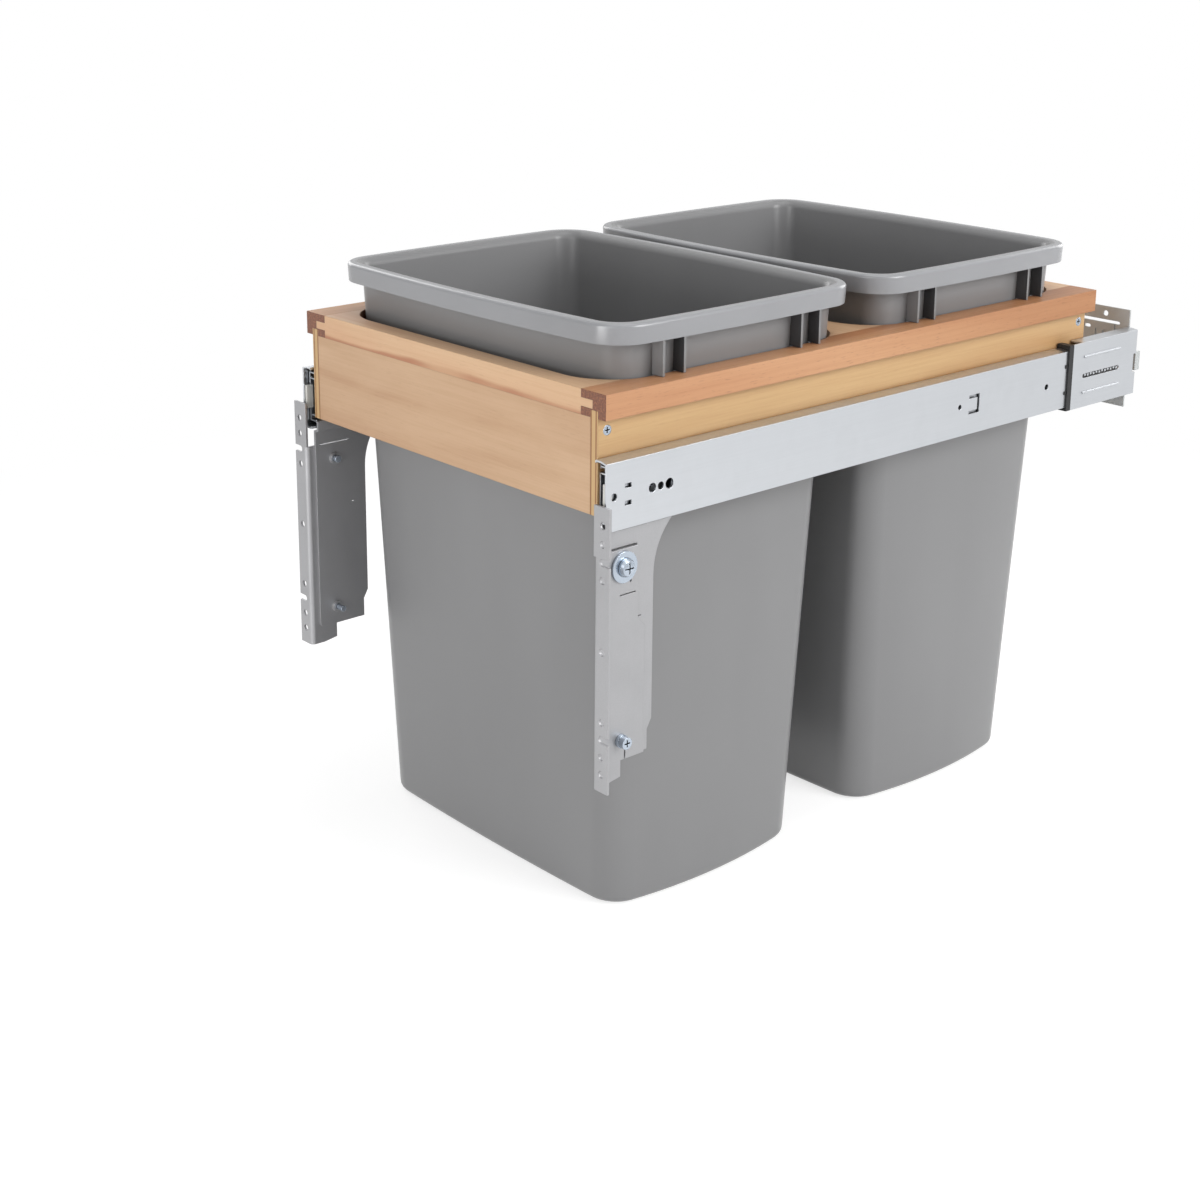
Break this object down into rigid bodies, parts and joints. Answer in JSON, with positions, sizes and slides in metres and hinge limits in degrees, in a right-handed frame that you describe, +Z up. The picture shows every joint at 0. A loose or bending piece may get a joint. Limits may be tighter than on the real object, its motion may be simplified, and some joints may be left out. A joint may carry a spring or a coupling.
{
  "type": "pull-out waste bin unit",
  "caption": "Top-mounted pull-out waste bin unit: a wood frame on ball-bearing slides carries lift-out tapered bins and brackets for a cabinet door.",
  "frame": {"origin": "midway between the two slides, on their centre line, at the front face of the wood frame", "axes": "+X to the right as seen from the front, +Y from the front towards the back of the cabinet, +Z up"},
  "size_m": [0.4034, 0.6683, 0.4785],
  "materials": {
    "board": "clear satin lacquer on solid hardwood",
    "apron": "clear satin lacquer on pale hardwood",
    "ply": "clear satin lacquer on plywood",
    "bin": "fine moulded texture",
    "zinc": "zinc plated",
    "cage": "plain pressed strip",
    "ball": "polished",
    "screw": "bright zinc plated",
    "bracket": "silver coated sheet",
    "collar": "plain",
    "bumper": "plain"
  },
  "bodies": {
    "fixed_slides": {"right_cabinet_member": "zinc", "right_collar": "collar", "right_sleeve": "zinc", "right_wall_plate": "bracket", "left_cabinet_member": "zinc", "left_collar": "collar", "left_sleeve": "zinc", "left_wall_plate": "bracket"},
    "carriage": {"front_rail": "board", "rear_rail": "board", "middle_rail": "board", "right_rail": "board", "left_rail": "board", "front_panel": "apron", "rear_panel": "apron", "right_panel": "ply", "left_panel": "ply", "panel_screws": "screw", "right_drawer_member": "zinc", "right_slide_screws": "screw", "right_bracket_plate": "bracket", "right_door_bracket": "bracket", "right_clamp_washer": "screw", "right_clamp_screw": "screw", "right_adjusting_screw": "screw", "left_drawer_member": "zinc", "left_slide_screws": "screw", "left_bracket_plate": "bracket", "left_door_bracket": "bracket", "left_clamp_washer": "screw", "left_clamp_screw": "screw", "left_adjusting_screw": "screw"},
    "front_bin": {"front_bin": "bin"},
    "rear_bin": {"rear_bin": "bin"},
    "right_middle": {"right_middle_member": "zinc", "right_bumper": "bumper"},
    "right_outer_cage": {"right_outer_cage": "cage", "right_outer_balls": "ball"},
    "right_inner_cage": {"right_inner_cage": "cage", "right_inner_balls": "ball"},
    "left_middle": {"left_middle_member": "zinc", "left_bumper": "bumper"},
    "left_outer_cage": {"left_outer_cage": "cage", "left_outer_balls": "ball"},
    "left_inner_cage": {"left_inner_cage": "cage", "left_inner_balls": "ball"}
  },
  "joints": [
    {"name": "carriage_slide", "type": "slide", "parent": "fixed_slides", "child": "carriage", "axis": [0, -1, 0], "range_m": [0, 0.55]},
    {"name": "right_middle_slide", "type": "slide", "parent": "fixed_slides", "child": "right_middle", "axis": [0, -1, 0], "range_m": [0, 0.275]},
    {"name": "right_outer_cage_slide", "type": "slide", "parent": "fixed_slides", "child": "right_outer_cage", "axis": [0, -1, 0], "range_m": [0, 0.1375]},
    {"name": "right_inner_cage_slide", "type": "slide", "parent": "fixed_slides", "child": "right_inner_cage", "axis": [0, -1, 0], "range_m": [0, 0.4125]},
    {"name": "left_middle_slide", "type": "slide", "parent": "fixed_slides", "child": "left_middle", "axis": [0, -1, 0], "range_m": [0, 0.275]},
    {"name": "left_outer_cage_slide", "type": "slide", "parent": "fixed_slides", "child": "left_outer_cage", "axis": [0, -1, 0], "range_m": [0, 0.1375]},
    {"name": "left_inner_cage_slide", "type": "slide", "parent": "fixed_slides", "child": "left_inner_cage", "axis": [0, -1, 0], "range_m": [0, 0.4125]},
    {"name": "front_bin_lift", "type": "slide", "parent": "carriage", "child": "front_bin", "axis": [0, 0, 1], "range_m": [0, 0.46]},
    {"name": "rear_bin_lift", "type": "slide", "parent": "carriage", "child": "rear_bin", "axis": [0, 0, 1], "range_m": [0, 0.46]}
  ],
  "couplings": [
    {"joint": "right_middle_slide", "follows": "carriage_slide", "ratio": 0.5},
    {"joint": "right_outer_cage_slide", "follows": "carriage_slide", "ratio": 0.25},
    {"joint": "right_inner_cage_slide", "follows": "carriage_slide", "ratio": 0.75},
    {"joint": "left_middle_slide", "follows": "carriage_slide", "ratio": 0.5},
    {"joint": "left_outer_cage_slide", "follows": "carriage_slide", "ratio": 0.25},
    {"joint": "left_inner_cage_slide", "follows": "carriage_slide", "ratio": 0.75}
  ]
}
